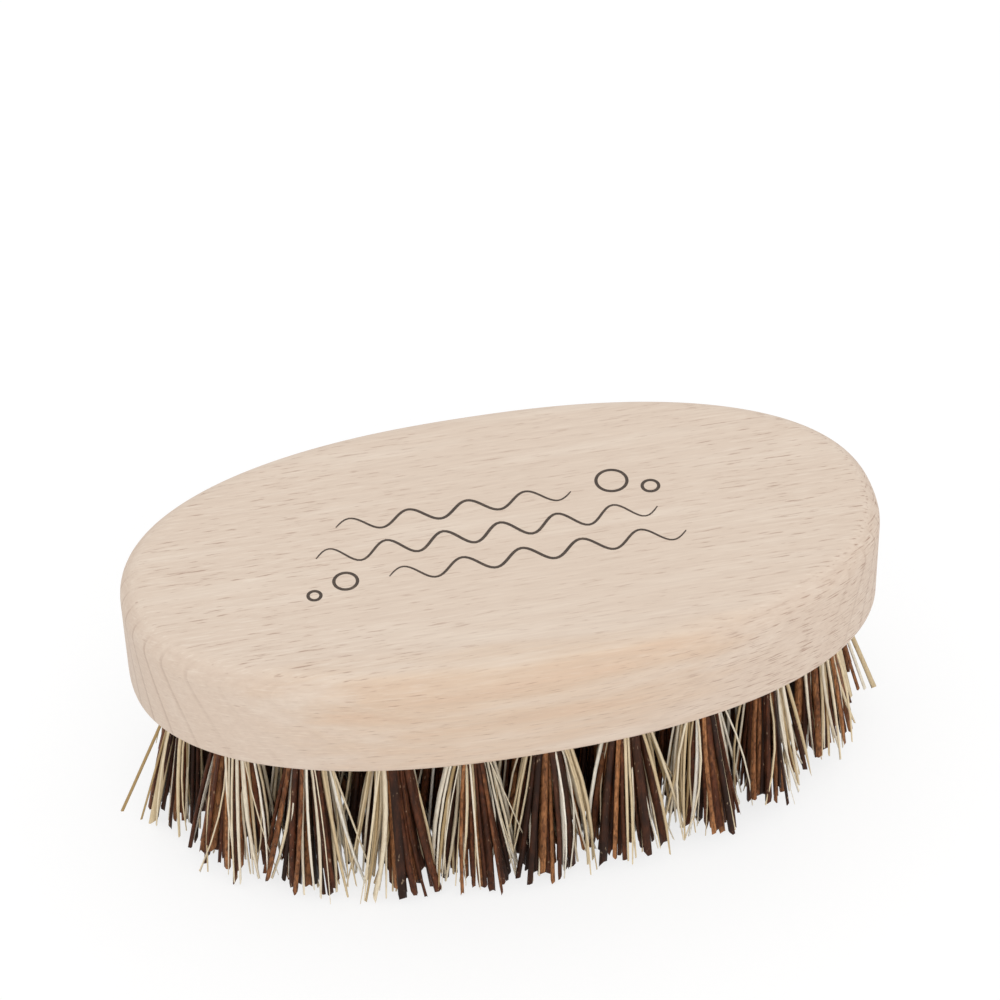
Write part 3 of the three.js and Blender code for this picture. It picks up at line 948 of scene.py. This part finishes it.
# The print: wavy lines, each with its start in X and Y, length, crests and crest height, and rings, each
# with its middle and radius. X and Y are from the middle of the top.
WAVES = (
    (-24 * MM, 7.0 * MM, 36 * MM, 4.0, 1.5 * MM),
    (-28 * MM, 1.0 * MM, 52 * MM, 6.0, 1.7 * MM),
    (-18 * MM, -5.0 * MM, 45 * MM, 5.0, 1.6 * MM),
)
RINGS = (
    (18.5 * MM, 8.0 * MM, 2.6 * MM),
    (24.0 * MM, 5.6 * MM, 1.5 * MM),
    (-24.5 * MM, -4.6 * MM, 2.0 * MM),
    (-29.5 * MM, -6.6 * MM, 1.2 * MM),
)
WAVE_STEPS = 96
RING_SIDES = 40
WAVE_END = 0.35  # width of a wavy line at its ends, as a share of the full width


def add_wave(bm, wave, line_width):
    """One wavy line, thinner at its ends."""
    start, level, length, crests, height = wave
    strip = bmesh.ops.create_grid(bm, x_segments=WAVE_STEPS, y_segments=1, size=0.5)["verts"]
    for vert in strip:
        share = vert.co.x + 0.5
        side = 2 * vert.co.y
        turn = FULL_TURN * crests * share
        slope = height * FULL_TURN * crests / length * math.cos(turn)
        normal = Vector((-slope, 1, 0)).normalized()
        half_line = line_width / 2 * (WAVE_END + (1 - WAVE_END) * math.sin(math.pi * share) ** 0.5)
        middle = Vector((start + length * share, level + height * math.sin(turn), 0))
        vert.co = middle + normal * (side * half_line)


def add_ring(bm, ring, line_width):
    """One small ring."""
    x, y, radius = ring
    middle = Matrix.Translation((x, y, 0))
    disc = bmesh.ops.create_circle(bm, cap_ends=True, segments=RING_SIDES, radius=radius, matrix=middle)
    face = disc["verts"][0].link_faces[0]
    bmesh.ops.inset_individual(bm, faces=[face], thickness=line_width)
    bmesh.ops.delete(bm, geom=[face], context="FACES_ONLY")


class BRUSH_OT_top_print(bpy.types.Operator):
    """Prints wavy lines and rings on the top of the block"""

    bl_idname = "mussel_brush.top_print"
    bl_label = "Top print"

    def execute(self, context):
        settings = context.scene.brush_print
        bm = bmesh.new()
        for wave in WAVES:
            add_wave(bm, wave, settings.line_width)
        for ring in RINGS:
            add_ring(bm, ring, settings.line_width)
        bmesh.ops.translate(bm, verts=bm.verts, vec=(0, 0, BLOCK_HIGH.z - settings.ink_height))
        raise_faces(bm, 2 * settings.ink_height)
        bmesh.ops.recalc_face_normals(bm, faces=bm.faces)
        lines = new_piece("top_print", mesh_of(bm, "top_print"), [printing_ink(settings)])
        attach(lines, BODY)
        return {"FINISHED"}


# Where the camera stands: the direction it looks from, its roll and what it looks at, over the block
CAMERA_AZIMUTH = math.radians(-10.3364)
CAMERA_ELEVATION = math.radians(43.3583)
CAMERA_ROLL = math.radians(-1.6134)
CAMERA_AIM = BLOCK_CENTRE + Vector((-0.184 * MM, 0, 16.195 * MM))
SENSOR_WIDTH = 36

# The soft lamp stands low in front, so that the sides and the bristles are as bright as the top
LAMP_AZIMUTH = math.radians(5)
LAMP_ELEVATION = math.radians(12)
LAMP_DISTANCE = 1.1
LAMP_SIZE = 0.5

FLOOR_SHADE = 0.28  # how strongly the paper shows the shadow of the brush
FLOOR_GLOW = 0.75  # what its white needs beyond that
FLOOR_BOUNCE = 0.8  # how much light it sends back to the brush


def outward(azimuth, elevation):
    """The unit vector from the brush at an azimuth, from the front round to +X, and an elevation."""
    level = math.cos(elevation)
    return Vector((math.sin(azimuth) * level, -math.cos(azimuth) * level, math.sin(elevation)))


def paper_floor(settings):
    """Matt white paper. The eye sees plain white with a soft grey shadow under the brush."""
    material, tree = new_material("matt white paper")
    rays = add_node(tree, "LightPath").outputs
    seen = add_node(tree, "Math", MAXIMUM, {0: rays["Is Camera Ray"], 1: rays["Is Glossy Ray"]})
    seen = add_node(tree, "Math", MAXIMUM, {0: seen, 1: rays["Is Transmission Ray"]})
    paper = add_node(tree, "BsdfDiffuse", inputs={"Color": opaque([FLOOR_BOUNCE] * 3)})
    shaded = add_node(tree, "BsdfDiffuse", inputs={"Color": opaque(settings.floor * FLOOR_SHADE)})
    glow = add_node(tree, "Emission", inputs={"Color": opaque(settings.floor), "Strength": FLOOR_GLOW})
    white = add_node(tree, "AddShader", inputs={0: shaded, 1: glow})
    upper = add_node(tree, "MixShader", inputs={0: seen, 1: paper, 2: white})
    below = add_node(tree, "NewGeometry").outputs["Backfacing"]
    clear = add_node(tree, "BsdfTransparent")
    surface = add_node(tree, "MixShader", inputs={0: below, 1: upper, 2: clear})
    add_node(tree, "OutputMaterial", inputs={"Surface": surface})
    return material


def even_sky(settings):
    """White all round as a background, and a weaker even light on the brush."""
    world = bpy.data.worlds.new("even studio light")
    world.use_nodes = True
    tree = world.node_tree
    tree.nodes.clear()
    seen = add_node(tree, "LightPath").outputs["Is Camera Ray"]
    strength = add_node(tree, "MapRange", inputs={"Value": seen, **ramp(0, 1, settings.sky, 1.0)})
    sky = add_node(tree, "Background", inputs={"Color": opaque(WHITE), "Strength": strength})
    add_node(tree, "OutputWorld", inputs={"Surface": sky})
    return world


def add_lamp(name, place, size, power):
    """A square soft lamp that faces the block."""
    lamp = bpy.data.lights.new(name, "AREA")
    lamp.size = size
    lamp.energy = power
    lit = bpy.data.objects.new(name, lamp)
    lit.location = place
    lit.rotation_mode = "QUATERNION"
    lit.rotation_quaternion = (BLOCK_CENTRE - place).to_track_quat("-Z", "Y")
    bpy.context.scene.collection.objects.link(lit)


class BRUSH_OT_stage(bpy.types.Operator):
    """Lays the floor, lights the brush and sets up the camera"""

    bl_idname = "mussel_brush.stage"
    bl_label = "Stage"

    def execute(self, context):
        scene = context.scene
        settings = scene.brush_stage
        bm = bmesh.new()
        bmesh.ops.create_grid(bm, x_segments=1, y_segments=1, size=settings.floor_size)
        floor = new_piece("paper_floor", mesh_of(bm, "paper_floor"), [paper_floor(settings)])
        scene.world = even_sky(settings)
        lamp_place = BLOCK_CENTRE + outward(LAMP_AZIMUTH, LAMP_ELEVATION) * LAMP_DISTANCE
        add_lamp("low_lamp", lamp_place, LAMP_SIZE, settings.lamp_power)
        camera = bpy.data.objects.new("camera", bpy.data.cameras.new("camera"))
        camera.data.sensor_width = SENSOR_WIDTH
        camera.data.lens = settings.lens
        back = outward(CAMERA_AZIMUTH, CAMERA_ELEVATION)
        camera.location = CAMERA_AIM + back * settings.distance
        camera.rotation_mode = "QUATERNION"
        roll = Quaternion((0, 0, 1), CAMERA_ROLL)
        camera.rotation_quaternion = (-back).to_track_quat("-Z", "Y") @ roll
        scene.collection.objects.link(camera)
        scene.camera = camera
        scene.view_settings.view_transform = "Standard"
        return {"FINISHED"}


SETTINGS = {
    "brush_block": BrushBlockSettings,
    "brush_anchors": BrushAnchorSettings,
    "brush_tufts": BrushTuftSettings,
    "brush_print": BrushPrintSettings,
    "brush_stage": BrushStageSettings,
}
OPERATORS = (
    BRUSH_OT_wood_block,
    BRUSH_OT_wire_anchors,
    BRUSH_OT_fibre_tufts,
    BRUSH_OT_top_print,
    BRUSH_OT_stage,
)


class BRUSH_PT_panel(bpy.types.Panel):
    """Lists the brush's pieces and their settings"""

    bl_idname = "BRUSH_PT_panel"
    bl_label = "Mussel brush"
    bl_space_type = "VIEW_3D"
    bl_region_type = "UI"
    bl_category = "Brush"

    def draw(self, context):
        for operator, group in zip(OPERATORS, SETTINGS):
            box = self.layout.box()
            box.operator(operator.bl_idname)
            settings = getattr(context.scene, group)
            for name in settings.__annotations__:
                box.prop(settings, name)


def register():
    for group, kind in SETTINGS.items():
        bpy.utils.register_class(kind)
        setattr(bpy.types.Scene, group, PointerProperty(type=kind))
    for kind in (*OPERATORS, BRUSH_PT_panel):
        bpy.utils.register_class(kind)


def unregister():
    for kind in (BRUSH_PT_panel, *reversed(OPERATORS)):
        bpy.utils.unregister_class(kind)
    for group, kind in reversed(SETTINGS.items()):
        delattr(bpy.types.Scene, group)
        bpy.utils.unregister_class(kind)


def main():
    register()
    bpy.ops.mussel_brush.wood_block()
    bpy.ops.mussel_brush.wire_anchors()
    bpy.ops.mussel_brush.fibre_tufts()
    bpy.ops.mussel_brush.top_print()
    bpy.ops.mussel_brush.stage()


if __name__ == "__main__":
    main()
